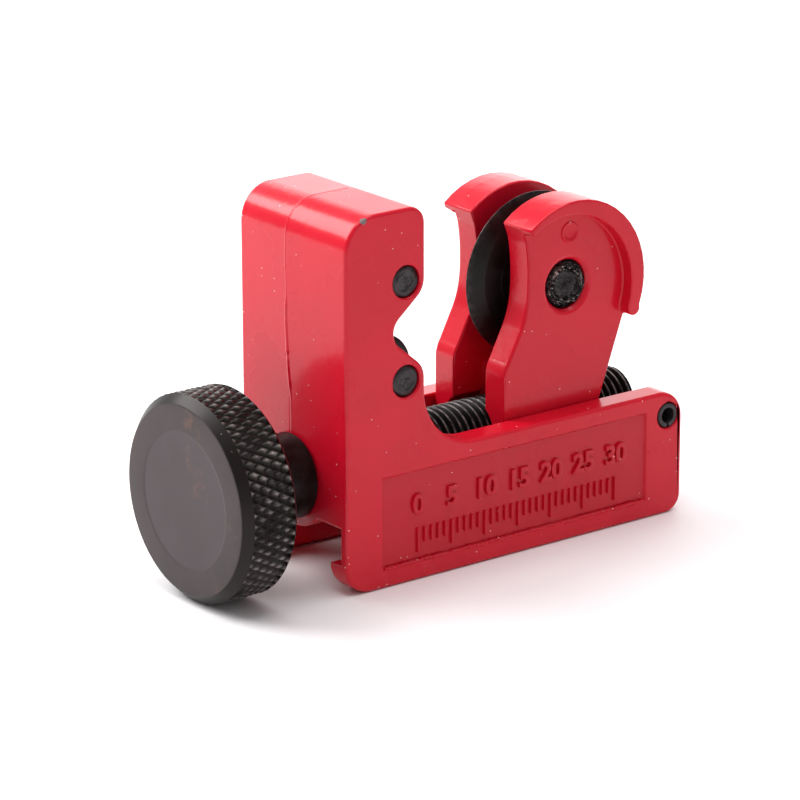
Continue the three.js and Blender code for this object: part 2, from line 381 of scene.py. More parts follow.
def colour_mix(tree, mask, first, second):
    """Colour from first to second by the mask."""
    node = tree.nodes.new("ShaderNodeMix")
    node.data_type = "RGBA"
    coloured = [socket for socket in node.inputs if socket.type == "RGBA"]
    feed(tree, node.inputs["Factor"], mask)
    feed(tree, coloured[0], first)
    feed(tree, coloured[1], second)
    return next(socket for socket in node.outputs if socket.type == "RGBA")


def new_group(name, outputs, **inputs):
    """A node group whose outputs are values; a tuple makes a vector input, a number a value."""
    group = bpy.data.node_groups.new(name, "ShaderNodeTree")
    for label, value in inputs.items():
        kind = "NodeSocketVector" if isinstance(value, tuple) else "NodeSocketFloat"
        socket = group.interface.new_socket(name=label, in_out="INPUT", socket_type=kind)
        socket.default_value = value
    for label in outputs:
        group.interface.new_socket(name=label, in_out="OUTPUT", socket_type="NodeSocketFloat")
    given = group.nodes.new("NodeGroupInput")
    result = group.nodes.new("NodeGroupOutput")
    return group, given.outputs, result.inputs


def make_specks_group(name):
    """Dust: each cell of a cell pattern may hold one small round speck."""
    group, given, result = new_group(
        name, ["Mask"], Position=ORIGIN, Cells=700.0, Size=0.08, Share=0.2
    )
    kind = "ShaderNodeTexVoronoi"
    cells = filled_node(group, kind, Vector=given["Position"], Scale=given["Cells"])
    near = math_node(group, "LESS_THAN", cells["Distance"], given["Size"])
    split = filled_node(group, "ShaderNodeSeparateColor", Color=cells["Color"])
    chosen = math_node(group, "LESS_THAN", split[0], given["Share"])
    feed(group, result["Mask"], math_node(group, "MULTIPLY", near, chosen))


def make_ripple_group(name):
    """Sprayed paint on a casting: a fine ripple over broad unevenness, and a broad tone."""
    group, given, result = new_group(
        name, ["Height", "Tone"], Position=ORIGIN, Fine=1300.0, Broad=140.0
    )
    fine = noise_node(group, given["Position"], given["Fine"], 2.0, 0.45)
    broad = noise_node(group, given["Position"], given["Broad"])
    feed(group, result["Height"], math_node(group, "MULTIPLY_ADD", broad, 1.6, fine))
    feed(group, result["Tone"], ramp_node(group, broad, 0.3, 0.7))


def make_oxide_group(name):
    """Oxidised steel: soft blotches, a fine grain, and sparse stains that may be rust."""
    group, given, result = new_group(
        name, ["Tone", "Grain", "Stain"], Position=ORIGIN, Blotch=220.0, Grain=4000.0
    )
    place = given["Position"]
    tone = noise_node(group, place, given["Blotch"], 3.0, 0.6)
    moved = vector_node(group, "ADD", place, (0.37, 0.11, 0.73))[0]
    stain = noise_node(group, moved, given["Blotch"], 4.0, 0.65)
    feed(group, result["Tone"], ramp_node(group, tone, 0.3, 0.7))
    feed(group, result["Grain"], noise_node(group, place, given["Grain"], 2.0, 0.6))
    feed(group, result["Stain"], ramp_node(group, stain, 0.58, 0.74))


def make_rings_group(name):
    """Lathe marks: waves over the distance from an axis, broken up by a little noise."""
    group, given, result = new_group(
        name,
        ["Height", "Radius"],
        Position=ORIGIN,
        Centre=ORIGIN,
        Across=(0.0, 1.0, 1.0),
        Rings=24000.0,
    )
    offset = vector_node(group, "SUBTRACT", given["Position"], given["Centre"])[0]
    flat = vector_node(group, "MULTIPLY", offset, given["Across"])[0]
    radius = vector_node(group, "LENGTH", flat)["Value"]
    wobble = noise_node(group, given["Position"], 900.0)
    phase = math_node(group, "MULTIPLY", radius, given["Rings"])
    shifted = math_node(group, "MULTIPLY_ADD", wobble, 5.0, phase)
    feed(group, result["Height"], math_node(group, "SINE", shifted))
    feed(group, result["Radius"], radius)


def make_wear_glint_group(name):
    """Wear and painted glints: raised places rub bare in patches, and the same bright mask stands in
    for glints of light on crests; the mask follows the crest value and a noise.
    """
    group, given, result = new_group(
        name, ["Mask"], Position=ORIGIN, Crest=0.0, Patches=500.0, Amount=0.5
    )
    patches = noise_node(group, given["Position"], given["Patches"], 2.0, 0.6)
    high = math_node(group, "POWER", given["Crest"], 4.0)
    uneven = math_node(group, "MULTIPLY", high, ramp_node(group, patches, 0.35, 0.65))
    feed(group, result["Mask"], math_node(group, "MULTIPLY", uneven, given["Amount"]))


def make_panel_group(name):
    """A box: 1 for positions between two corners, 0 outside."""
    group, given, result = new_group(name, ["Mask"], Position=ORIGIN, Low=ORIGIN, High=ORIGIN)
    above = vector_node(group, "SUBTRACT", given["Position"], given["Low"])[0]
    below = vector_node(group, "SUBTRACT", given["High"], given["Position"])[0]
    least = vector_node(group, "MINIMUM", above, below)[0]
    split = filled_node(group, "ShaderNodeSeparateXYZ", Vector=least)
    flat = math_node(group, "MINIMUM", split[0], split[1])
    inner = math_node(group, "MINIMUM", flat, split[2])
    feed(group, result["Mask"], math_node(group, "GREATER_THAN", inner, 0.0))


def make_draft_group(name):
    """The two mould halves lean away from the parting plane: distance from it times a slope."""
    group, given, result = new_group(
        name, ["Height"], Position=ORIGIN, Parting=0.0, Slope=1.0
    )
    split = filled_node(group, "ShaderNodeSeparateXYZ", Vector=given["Position"])
    aside = math_node(group, "SUBTRACT", split[1], given["Parting"])
    away = math_node(group, "ABSOLUTE", aside)
    feed(group, result["Height"], math_node(group, "MULTIPLY", away, given["Slope"]))


GROUP_MAKERS = {
    "Sunk Panel": make_panel_group,
    "Mould Draft": make_draft_group,
    "Dust Specks": make_specks_group,
    "Paint Ripple": make_ripple_group,
    "Steel Oxide": make_oxide_group,
    "Lathe Rings": make_rings_group,
    "Crest Wear": make_wear_glint_group,
}


def use_group(tree, name, **values):
    """Places the named group in a material, with its inputs fed; returns its outputs."""
    if name not in bpy.data.node_groups:
        GROUP_MAKERS[name](name)
    node = tree.nodes.new("ShaderNodeGroup")
    node.node_tree = bpy.data.node_groups[name]
    for label, value in values.items():
        feed(tree, node.inputs[label], value)
    return node.outputs


# Materials


def start_material(name):
    """A new material: itself, its tree, its shader's inputs and its Object coordinates."""
    material = bpy.data.materials.new(name)
    material.use_nodes = True
    tree = material.node_tree
    place = tree.nodes.new("ShaderNodeTexCoord").outputs["Object"]
    return material, tree, tree.nodes["Principled BSDF"].inputs, place


def attribute_value(tree, name):
    node = tree.nodes.new("ShaderNodeAttribute")
    node.attribute_name = name
    return node.outputs["Fac"]


def add_bump(tree, shader, height, distance):
    bump = filled_node(tree, "ShaderNodeBump", Distance=distance, Strength=1.0, Height=height)
    feed(tree, shader["Normal"], bump["Normal"])
    return bump["Normal"]


def opaque(colour, strength=1.0):
    return tuple(strength * part for part in colour) + (1.0,)


def spot_mask(tree, place, centre, size, softness, scale):
    """A ragged round spot: 1 inside `size` of the centre, its edge broken by noise."""
    noise = noise_node(tree, place, scale, 3.0, 0.6)
    distance = distance_from(tree, place, centre)
    ragged = math_node(tree, "MULTIPLY_ADD", noise, -softness, distance)
    return ramp_node(tree, ragged, size - 0.45 * softness, size - 0.55 * softness)


PANEL_LOW = np.array([5.4, -1.0, 2.4]) * MM
PANEL_HIGH = np.array([45.1, 0.6, 13.3]) * MM
CHIP = np.array([2.6, 0.1, 44.5]) * MM
PARTING_Y = 0.9 * MM
DRAFT_SLOPE = 1700.0


def make_sprayed_paint(name, colours):
    """Gloss red paint: ripple, dust, a chip, painted shade on the sunk panel and the mould's draft."""
    material, tree, shader, place = start_material(name)
    low = corners_of("frame")[0]
    ripple = use_group(tree, "Paint Ripple", Position=place, Fine=1100.0, Broad=130.0)
    dust = use_group(tree, "Dust Specks", Position=place, Cells=900.0, Size=0.07, Share=0.3)
    nibs = use_group(tree, "Dust Specks", Position=place, Cells=800.0, Size=0.14, Share=0.1)
    panel = {"Low": tuple(low + PANEL_LOW), "High": tuple(low + PANEL_HIGH)}
    panel_shade = use_group(tree, "Sunk Panel", Position=place, **panel)
    draft = use_group(tree, "Mould Draft", Position=place, Parting=PARTING_Y, Slope=DRAFT_SLOPE)
    chip = spot_mask(tree, place, tuple(low + CHIP), 0.42 * MM, 0.6 * MM, 3600.0)
    red = colours.red_paint
    painted = colour_mix(tree, ripple["Tone"], opaque(red, 0.93), opaque(red))
    # Painted shade: paint inside the sunk panel is darkened to 0.84, standing in for the duller
    # reflection of its floor.
    paint = colour_mix(tree, panel_shade["Mask"], painted, opaque(red, 0.84))
    dusty = colour_mix(tree, dust["Mask"], paint, opaque(colours.dust))
    bare = colour_mix(tree, chip, dusty, opaque(colours.bare_metal))
    feed(tree, shader["Base Color"], bare)
    rough_paint = math_node(tree, "MULTIPLY_ADD", ripple["Tone"], 0.05, 0.26)
    roughness = math_node(tree, "MULTIPLY_ADD", dust["Mask"], 0.4, rough_paint)
    feed(tree, shader["Roughness"], roughness)
    shader["Specular IOR Level"].default_value = 0.12
    shader["Coat Roughness"].default_value = 0.15
    shader["Coat Weight"].default_value = 0.37
    shader["Coat IOR"].default_value = 1.5
    with_nibs = math_node(tree, "MULTIPLY_ADD", nibs["Mask"], 1.4, ripple["Height"])
    leaning = math_node(tree, "SUBTRACT", with_nibs, draft["Height"])
    height = math_node(tree, "MULTIPLY_ADD", chip, -1.5, leaning)
    feed(tree, shader["Coat Normal"], add_bump(tree, shader, height, 0.016 * MM))
    return material


def oxide_with_rub_and_glint(tree, shader, place, colour, rubbed_and_glint, strength, oxide, **wear_with_glints):
    """Oxide colour by its tone, rubbed bare on the crests, which also paints glints of light there;
    returns the crest value.
    """
    crest = attribute_value(tree, "crest")
    crest_rub_and_glint = use_group(tree, "Crest Wear", Position=place, Crest=crest, **wear_with_glints)
    toned = colour_mix(tree, oxide["Tone"], opaque(colour), opaque(colour, strength))
    feed(tree, shader["Base Color"], colour_mix(tree, crest_rub_and_glint["Mask"], toned, opaque(rubbed_and_glint)))
    return crest


def make_black_steel(name, colours, centre, across):
    """Black oxide on turned steel: rings across its axis, crests rubbed bare that also serve as painted
    glints, and faint blotches.
    """
    material, tree, shader, place = start_material(name)
    oxide = use_group(tree, "Steel Oxide", Position=place, Blotch=420.0, Grain=6000.0)
    ringed = {"Centre": centre, "Across": across, "Rings": 26000.0}
    rings = use_group(tree, "Lathe Rings", Position=place, **ringed)
    black = colours.black_oxide
    rubbed_and_glint = colours.rubbed_steel_and_glint
    oxide_with_rub_and_glint(tree, shader, place, black, rubbed_and_glint, 1.9, oxide, Patches=900.0, Amount=0.3)
    shader["Metallic"].default_value = 0.75
    feed(tree, shader["Roughness"], math_node(tree, "MULTIPLY_ADD", oxide["Tone"], 0.16, 0.3))
    height = math_node(tree, "MULTIPLY_ADD", rings["Height"], 0.35, oxide["Grain"])
    add_bump(tree, shader, height, 0.008 * MM)
    return material


def make_pin_oxide(name, colours):
    """Dark oxide on the pins' ends: grainy, and glossy and bright on the crests, where the bright
    colour is both bare rubbed steel and a painted glint.
    """
    material, tree, shader, place = start_material(name)
    oxide = use_group(tree, "Steel Oxide", Position=place, Blotch=600.0, Grain=3200.0)
    dark = colours.pin_steel
    rubbed_and_glint = colours.rubbed_steel_and_glint
    wear_with_glints = {"Patches": 2600.0, "Amount": 1.0}
    crest = oxide_with_rub_and_glint(tree, shader, place, dark, rubbed_and_glint, 1.8, oxide, **wear_with_glints)
    shader["Metallic"].default_value = 0.6
    matt = math_node(tree, "MULTIPLY_ADD", oxide["Grain"], 0.2, 0.3)
    feed(tree, shader["Roughness"], math_node(tree, "MULTIPLY_ADD", crest, -0.16, matt))
    add_bump(tree, shader, oxide["Grain"], 0.03 * MM)
    return material


def make_knob_oxide(name, colours):
    """Worn brown-black oxide: a paler face with a disc and rust hints, and bright knurl tips that are
    both worn bare and painted glints.
    """
    material, tree, shader, place = start_material(name)
    centre = tuple(middle_of("knurled_knob"))
    oxide = use_group(tree, "Steel Oxide", Position=place, Blotch=170.0, Grain=5200.0)
    rings = use_group(tree, "Lathe Rings", Position=place, Centre=centre, Rings=16000.0)
    nicks = use_group(tree, "Dust Specks", Position=place, Cells=1100.0, Size=0.06, Share=0.12)
    crest = attribute_value(tree, "crest")
    knurled = attribute_value(tree, "knurled")
    wear_with_glints = use_group(
        tree, "Crest Wear", Position=place, Crest=crest, Patches=420.0, Amount=0.42
    )
    face = colours.knob_face
    rubbed_and_glint = opaque(colours.rubbed_steel_and_glint)
    mottled = colour_mix(tree, oxide["Tone"], opaque(face, 0.66), opaque(face))
    worn_disc = ramp_node(tree, rings["Radius"], 8.3 * MM, 7.9 * MM)
    bluish = (1.12 * face[0], 1.12 * face[1], 1.22 * face[2], 1.0)
    inner_share = math_node(tree, "MULTIPLY", worn_disc, 0.55)
    face_colour = colour_mix(tree, inner_share, mottled, bluish)
    rust_share = math_node(tree, "MULTIPLY", oxide["Stain"], 0.42)
    stained = colour_mix(tree, rust_share, face_colour, opaque(colours.rust))
    face_nicks = math_node(tree, "MULTIPLY", nicks["Mask"], 0.5)
    side_nicks = math_node(tree, "MULTIPLY", nicks["Mask"], 0.6)
    nicked = colour_mix(tree, face_nicks, stained, rubbed_and_glint)
    side = colour_mix(tree, side_nicks, opaque(colours.knob_side), rubbed_and_glint)
    whole = colour_mix(tree, knurled, nicked, side)
    feed(tree, shader["Base Color"], colour_mix(tree, wear_with_glints["Mask"], whole, rubbed_and_glint))
    gloss = math_node(tree, "MULTIPLY_ADD", knurled, -0.2, 0.5)
    feed(tree, shader["Specular IOR Level"], gloss)
    feed(tree, shader["Metallic"], math_node(tree, "MULTIPLY_ADD", knurled, -0.2, 0.6))
    face_dull = math_node(tree, "MULTIPLY_ADD", oxide["Tone"], 0.12, 0.42)
    dull = math_node(tree, "MULTIPLY_ADD", knurled, -0.1, face_dull)
    feed(tree, shader["Roughness"], math_node(tree, "MULTIPLY_ADD", wear_with_glints["Mask"], -0.18, dull))
    height = math_node(tree, "MULTIPLY_ADD", rings["Height"], 0.2, oxide["Grain"])
    add_bump(tree, shader, height, 0.006 * MM)
    return material


def make_floor_white(name, colours):
    """A pale floor with a barely uneven tone."""
    material, tree, shader, place = start_material(name)
    tone = noise_node(tree, place, 2.0)
    floor = colours.floor
    feed(tree, shader["Base Color"], colour_mix(tree, tone, opaque(floor, 0.985), opaque(floor)))
    shader["Roughness"].default_value = 0.6
    shader["Specular IOR Level"].default_value = 0.25
    return material


# The CAD node whose middle the rings turn round, and the two axes across its own axis.
TURNED_STEEL = {
    "screw_steel": ("feed_screw", (0.0, 1.0, 1.0)),
    "wheel_steel": ("cutter_wheel", (1.0, 0.0, 1.0)),
    "roller_steel": ("lower_roller", (1.0, 0.0, 1.0)),
}
MATERIAL_MAKERS = {
    "sprayed_paint": make_sprayed_paint,
    "pin_oxide": make_pin_oxide,
    "knob_oxide": make_knob_oxide,
    "floor_white": make_floor_white,
}


def material_for(name):
    """The named material, made on first use from the scene's colours."""
    if name in bpy.data.materials:
        return bpy.data.materials[name]
    colours = bpy.context.scene.cutter_colours
    if name in TURNED_STEEL:
        node, across = TURNED_STEEL[name]
        return make_black_steel(name, colours, tuple(middle_of(node)), across)
    return MATERIAL_MAKERS[name](name, colours)


# Settings


def length_setting(name, description, size):
    return bpy.props.FloatProperty(
        name=name, description=description, default=size * MM, unit="LENGTH"
    )


def colour_setting(name, description, colour):
    return bpy.props.FloatVectorProperty(
        name=name, description=description, default=colour, subtype="COLOR", min=0.0, max=1.0
    )


class CutterSizes(bpy.types.PropertyGroup):
    """Sizes of the details that the CAD frame leaves plain, in millimetres below."""

    casting_edge: length_setting("Casting edge", "Bevel on the castings' sharp edges", 0.2)
    scale_relief: length_setting("Scale relief", "Height of the scale's marks on the panel", 0.33)
    number_height: length_setting("Number height", "Height of the scale's numbers", 2.45)
    flash_height: length_setting("Parting line", "Ridge left where the mould closed", 0.11)
    thread_pitch: length_setting("Thread pitch", "Distance between the screw's crests", 1.0)
    thread_depth: length_setting("Thread depth", "Depth of the screw's thread", 0.6)
    knurl_length: length_setting("Knurl length", "One diamond along the knob's axis", 2.24)
    knurl_depth: length_setting("Knurl depth", "Depth of the knurl's grooves", 0.42)
    knurl_count: bpy.props.IntProperty(
        name="Knurl count", description="Diamonds round the knob", default=60, min=20
    )


class CutterColours(bpy.types.PropertyGroup):
    """Colours of the finishes."""

    red_paint: colour_setting("Red paint", "Gloss on the two castings", (0.65, 0.006, 0.023))
    dust: colour_setting("Dust", "Specks of dust in the paint", (0.9, 0.62, 0.62))
    bare_metal: colour_setting("Bare casting", "Zinc where paint is chipped", (0.2, 0.16, 0.16))
    black_oxide: colour_setting("Black oxide", "Screw, wheel and rollers", (0.010, 0.009, 0.009))
    pin_steel: colour_setting("Pin steel", "Ends of the pins and axle", (0.028, 0.024, 0.025))
    knob_face: colour_setting("Knob face", "Worn oxide on the flat face", (0.071, 0.055, 0.056))
    knob_side: colour_setting("Knob side", "Oxide in the knurl", (0.010, 0.0065, 0.0055))
    # Rubbed steel: the colour of worn tips and crests, which also serves as painted glints of light on
    # them.
    rubbed_steel_and_glint: colour_setting("Rubbed steel", "Worn tips and crests", (0.55, 0.5, 0.48))
    rust: colour_setting("Rust", "Faint rust on the knob", (0.2, 0.1, 0.06))
    floor: colour_setting("Floor", "Plain pale floor", (0.92, 0.9, 0.91))


# Castings


class CUTTER_OT_frame_casting(bpy.types.Operator):
    """The L-shaped casting that holds the rollers and the screw."""

    bl_idname = "cutter.frame_casting"
    bl_label = "Frame casting"

    def execute(self, context):
        edge = context.scene.cutter_sizes.casting_edge
        add_softened("frame", "frame_casting", "sprayed_paint", "frame", edge)
        return {"FINISHED"}


UPRIGHT = Matrix(((1, 0, 0, 0), (0, 0, -1, 0), (0, 1, 0, 0), (0, 0, 0, 1)))


def number_mesh(text, place, sizes):
    """A mesh of one number, upright on a wall that faces -Y."""
    letters = bpy.data.curves.new("number", "FONT")
    letters.body = text
    letters.size = sizes.number_height * 1.38
    letters.extrude = sizes.scale_relief / 2
    letters.offset = 0.07 * MM
    letters.bevel_depth = 0.05 * MM
    letters.bevel_resolution = 1
    letters.resolution_u = 5
    letters.align_x = "CENTER"
    holder = bpy.data.objects.new("number", letters)
    bpy.context.scene.collection.objects.link(holder)
    graph = bpy.context.evaluated_depsgraph_get()
    mesh = bpy.data.meshes.new_from_object(holder.evaluated_get(graph))
    bpy.data.objects.remove(holder)
    mesh.transform(Matrix.Translation(place) @ UPRIGHT)
    return mesh


class CUTTER_OT_graduated_scale(bpy.types.Operator):
    """Raised numbers and millimetre marks in the sunk panel, and the ragged line under them."""

    bl_idname = "cutter.graduated_scale"
    bl_label = "Graduated scale"

    def execute(self, context):
        sizes = context.scene.cutter_sizes
        low = corners_of("frame")[0]
        floor_y = low[1] + 0.35 * MM
        start_x = low[0] + 10.5 * MM
        relief = sizes.scale_relief
        wide = 0.17 * MM
        levels = [(-0.1 * MM, 0.0), (relief * 0.7, 0.0), (relief, 0.05 * MM)]
        marks = []
        for step in range(31):
            tall = (1.5 if step % 5 == 0 else 0.95) * MM
            corners = [(-wide, -tall), (wide, -tall), (wide, tall), (-wide, tall)]
            origin = (start_x + step * MM, floor_y, low[2] + 6.3 * MM - tall)
            marks.append(embossed(rounded(corners, 0.12 * MM, True), origin, levels))
        mesh = surface_mesh("scale_marks", *joined(marks))
        work = bmesh.new()
        work.from_mesh(mesh)
        number_y = floor_y - relief / 2 + 0.02 * MM
        for step in range(7):
            place = (start_x + step * 5 * MM, number_y, low[2] + 8.1 * MM)
            work.from_mesh(number_mesh(str(5 * step), place, sizes))
        bmesh.ops.remove_doubles(work, verts=work.verts, dist=1e-6)
        work.to_mesh(mesh)
        work.free()
        add_piece(mesh, "sprayed_paint", "frame", [], 45.0)
        run = np.linspace(0.0, 1.0, 520)
        jagged = rough(run * 420, 0 * run, 7, 40, 0.0, 1.0)
        x = low[0] + (5.5 + 39.5 * run) * MM
        z = low[2] + (2.36 + 0.05 * rough(run * 160, 0 * run, 8, 20, 0.0, 1.0)) * MM
        path = np.stack([x, np.full(len(run), low[1] + 0.03 * MM), z], axis=1)
        out = np.tile([0.0, -1.0, 0.0], (len(run), 1))
        height = np.clip(0.06 + 0.06 * jagged, 0.01, 0.16) * MM
        width = np.clip(0.16 + 0.05 * jagged, 0.06, 0.3) * MM
        flash = carried(path, out, (0, 0, 1), ridge_section(7, 1.0, 2.0), height, width)
        add_surface("panel_flash", flash, "sprayed_paint", "frame", [], "red_paint", 50.0)
        return {"FINISHED"}


class CUTTER_OT_parting_line(bpy.types.Operator):
    """The thin rough ridge where the mould closed, up the block's outer face and over its top."""

    bl_idname = "cutter.parting_line"
    bl_label = "Parting line"

    def execute(self, context):
        low, high = corners_of("frame")
        top = high[2]
        corner = 4.2 * MM
        climb = np.linspace(17.0 * MM, top - corner, 260)
        turn = np.linspace(0.0, np.pi / 2, 24)[1:]
        level = np.linspace(corner, 9.0 * MM, 60)[1:]
        x = np.concatenate([0 * climb, corner * (1 - np.cos(turn)), level])
        z = np.concatenate([climb, top - corner + corner * np.sin(turn), np.full(len(level), top)])
        out_x = np.concatenate([-np.ones(len(climb)), -np.cos(turn), 0 * level])
        out_z = np.concatenate([0 * climb, np.sin(turn), np.ones(len(level))])
        run = np.linspace(0, 1, len(x))
        sway = rough(run * 18, 0 * run, 3, 10, 0.0, 2.0) * 0.05 * MM
        y = (0.35 + 0.9 * smoothly(z, 19 * MM, 30 * MM)) * MM - sway
        path = np.stack([low[0] + x, y, z], axis=1)
        out = np.stack([out_x, 0 * x, out_z], axis=1)
        torn = smoothly(z, 21 * MM, 23.5 * MM) * (1 - smoothly(z, 32 * MM, 35 * MM))
        jagged = rough(run * 240, 0 * run, 5, 30, 0.0, 1.0)
        flash_height = context.scene.cutter_sizes.flash_height
        height = flash_height * (0.34 + torn * (0.75 + 0.35 * jagged))
        height = np.clip(height, 0.02 * MM, 0.25 * MM)
        width = (0.16 + 0.2 * torn * (1 + 0.3 * jagged)) * MM
        line = carried(path, out, (0, 1, 0), ridge_section(9, 1.5, 1.0), height, width)
        add_surface("parting_line", line, "sprayed_paint", "frame", [], "red_paint", 50.0)
        return {"FINISHED"}


class CUTTER_OT_carriage_casting(bpy.types.Operator):
    """The sliding casting that holds the wheel, with the marks its ejector pins left."""

    bl_idname = "cutter.carriage_casting"
    bl_label = "Carriage casting"

    def execute(self, context):
        edge = context.scene.cutter_sizes.casting_edge
        paint = "sprayed_paint"
        add_softened("carriage", "carriage_casting", paint, "carriage", edge)
        axle = middle_of("wheel_axle")
        ear_face = 6.7 * MM
        dome = [(0.02, 0.0), (0.05, 0.8), (0.17, 0.98), (0.2, 1.25), (-0.1, 1.36)]
        buried = [(-0.3, 1.33), (-0.3, 0.0)]
        profile = rounded(np.array(dome + buried) * MM, 0.06 * MM)
        centre = (axle[0] + 0.2 * MM, ear_face, axle[2] + 6.45 * MM)

        def tilt(along, radius, angle):
            """One side of the mark stands prouder: 0.09 mm * cos(angle + 1.2) at its rim."""
            return 0.09 * MM * np.cos(angle + 1.2) * radius / (1.3 * MM)

        points, faces = turned(profile, centre, "y", 40, lift=tilt)
        opposite = points * np.array([1.0, -1.0, 1.0])
        marks = joined([(opposite, faces), (points, faces)])
        add_surface("ejector_marks", marks, paint, "carriage", [], "red_paint", 40.0)
        return {"FINISHED"}


# Rollers and pins


class CUTTER_OT_rollers(bpy.types.Operator):
    """The two guide rollers and the pins that carry them."""

    bl_idname = "cutter.rollers"
    bl_label = "Rollers and pins"

    def execute(self, context):
        for name in ("upper_roller", "lower_roller"):
            _, length, radius = half_size_of(name)
            panel_shade = -length + 0.12 * MM
            half = [
                (-length, 1.98 * MM),
                (-length, radius - 1.0 * MM),
                (panel_shade, radius - 0.9 * MM),
                (panel_shade, radius - 0.35 * MM),
                (-length + 0.45 * MM, radius),
            ]
            profile = rounded(both_ways(half), 0.1 * MM, True)
            roller = turned(profile, middle_of(name), "y", 72, closed=True)
            add_surface(name + "_turned", roller, "roller_steel", name, [name], "black_steel")
        for seed, name in ((11, "upper_roller_pin"), (17, "lower_roller_pin")):
            _, length, radius = half_size_of(name)
            half = [
                (-length + 0.12 * MM, 0.0),
                (-length + 0.1 * MM, radius * 0.45),
                (-length, radius * 0.72),
                (-length + 0.3 * MM, radius),
            ]
            profile = finely(rounded(both_ways(half), 0.2 * MM), 0.12 * MM)

            def dents(along, radial, angle):
                """Shear marks on the two ends, none on the barrel."""
                end = smoothly(np.abs(along), length - 0.45 * MM, length - 0.25 * MM)
                uneven = rough(radial * 2600, angle, seed, 20, 1.0, 5.0)
                return np.sign(along) * end * 0.05 * MM * (uneven - 1.2)

            ends = ends_only(profile, length - 0.9 * MM)
            pin = turned(ends, middle_of(name), "y", 56, lift=dents)
            add_surface(name + "_turned", pin, "pin_oxide", "frame", [name], "pin_steel")
        return {"FINISHED"}


class CUTTER_OT_stop_pins(bpy.types.Operator):
    """The two rolled spring pins at the channel's open end, each with its slit."""

    bl_idname = "cutter.stop_pins"
    bl_label = "Stop pins"

    def execute(self, context):
        inner = 0.95 * MM
        ease = 0.16 * MM
        slit = 0.13
        arc = (-np.pi / 2 + slit, 1.5 * np.pi - slit)
        for name in ("front_stop_pin", "back_stop_pin"):
            outer, length, _ = half_size_of(name)
            half = [(-length, inner), (-length, outer - ease), (-length + 2 * ease, outer)]
            profile = rounded(both_ways(half), 0.08 * MM, True)
            pin = turned(profile, middle_of(name), "y", 56, closed=True, arc=arc)
            add_surface(name + "_rolled", pin, "pin_oxide", "frame", [name], "black_steel")
        return {"FINISHED"}


# Wheel and axle


class CUTTER_OT_cutter_wheel(bpy.types.Operator):
    """The hardened wheel: a hub, a thin tapered disc and a sharp edge."""

    bl_idname = "cutter.cutter_wheel"
    bl_label = "Cutter wheel"

    def execute(self, context):
        centre = middle_of("cutter_wheel")
        _, hub, rim = half_size_of("cutter_wheel")
        hub_mm = hub / MM
        rim_mm = rim / MM
        half = [
            (hub_mm, 3.06),
            (hub_mm, 3.6),
            (hub_mm - 0.3, 3.9),
            (1.9, 3.9),
            (1.3, 4.15),
            (1.08, 4.8),
            (1.02, 5.4),
            (0.96, 5.5),
            (0.8, rim_mm - 2.2),
            (0.72, rim_mm - 2.0),
            (0.05, rim_mm),
        ]
        reach = np.full(2 * len(half), 0.12 * MM)
        reach[[len(half) - 1, len(half)]] = 0.01 * MM
        profile = rounded(both_ways(half) * MM, reach, True)
        points, faces = turned(profile, centre, "y", 128, closed=True)
        radial = np.hypot(points[:, 0] - centre[0], points[:, 2] - centre[2])
        # Crest: a painted glint on the hub's edge, partly rubbed steel, and wear on the cutting edge.
        hub_edge_glint = np.abs(radial - 3.75 * MM) < 0.2 * MM
        crest = np.maximum(smoothly(radial, rim - 0.3 * MM, rim) * 0.7, 0.75 * hub_edge_glint)
        name = "cutter_wheel"
        wheel = (points, faces)
        add_surface(
            name + "_ground", wheel, "wheel_steel", name, [name], "black_steel", 30.0, crest=crest
        )
        return {"FINISHED"}


class CUTTER_OT_wheel_axle(bpy.types.Operator):
    """The wheel's pin, its two ends hammered out rough over the ears."""

    bl_idname = "cutter.wheel_axle"
    bl_label = "Wheel axle"

    def execute(self, context):
        centre = middle_of("wheel_axle")
        radius, length, _ = half_size_of("wheel_axle")
        half = [
            (length - 0.34 * MM, 0.0),
            (length - 0.32 * MM, 1.5 * MM),
            (length - 0.28 * MM, 1.75 * MM),
            (length - 0.02 * MM, 2.0 * MM),
            (length, 2.35 * MM),
            (length - 0.16 * MM, radius - 0.12 * MM),
            (length - 0.6 * MM, radius),
        ]
        profile = finely(rounded(both_ways(half), 0.15 * MM), 0.1 * MM)

        def hammered(along, radial, angle):
            """Hammer marks: deep on the ring, slight on the floor inside it, none on the shank."""
            end_part = smoothly(np.abs(along), length - 0.75 * MM, length - 0.5 * MM)
            ring = smoothly(radial, 1.55 * MM, 2.0 * MM)
            side = np.sign(along)
            broad = rough(radial * 1900, angle + side, 23, 26, 1.0, 6.0)
            fine = rough(radial * 5200, angle + 2 * side, 29, 34, 6.0, 22.0)
            dent = (0.07 + 0.24 * ring) * (0.5 * broad + 0.9 * fine - 0.9)
            return side * end_part * np.clip(dent, -0.45, 0.12) * MM

        def burred(along, radial, angle):
            """The ring's edge is pushed in and out unevenly, by about 0.1 mm."""
            ring = smoothly(radial, 2.4 * MM, 2.8 * MM)
            outer_end = smoothly(np.abs(along), length - 0.5 * MM, length - 0.2 * MM)
            uneven = rough(angle * 0, angle, 31, 26, 2.0, 20.0)
            return ring * outer_end * 0.07 * MM * uneven

        ends = ends_only(profile, length - 1.2 * MM)
        points, faces = turned(ends, centre, "y", 144, swell=burred, lift=hammered)
        x, y, z = (points - centre).T
        # Crest: the staked ring, bare hammered steel that also stands in for painted glints on its
        # facets.
        high = smoothly(np.abs(y), length - 0.42 * MM, length - 0.12 * MM)
        crest = high**0.3 * smoothly(np.hypot(x, z), 1.5 * MM, 1.8 * MM)
        axle = (points, faces)
        nodes = ["wheel_axle"]
        add_surface(
            "wheel_axle_staked", axle, "pin_oxide", "carriage", nodes, "pin_steel", 60.0, crest=crest
        )
        return {"FINISHED"}


# Screw and knob


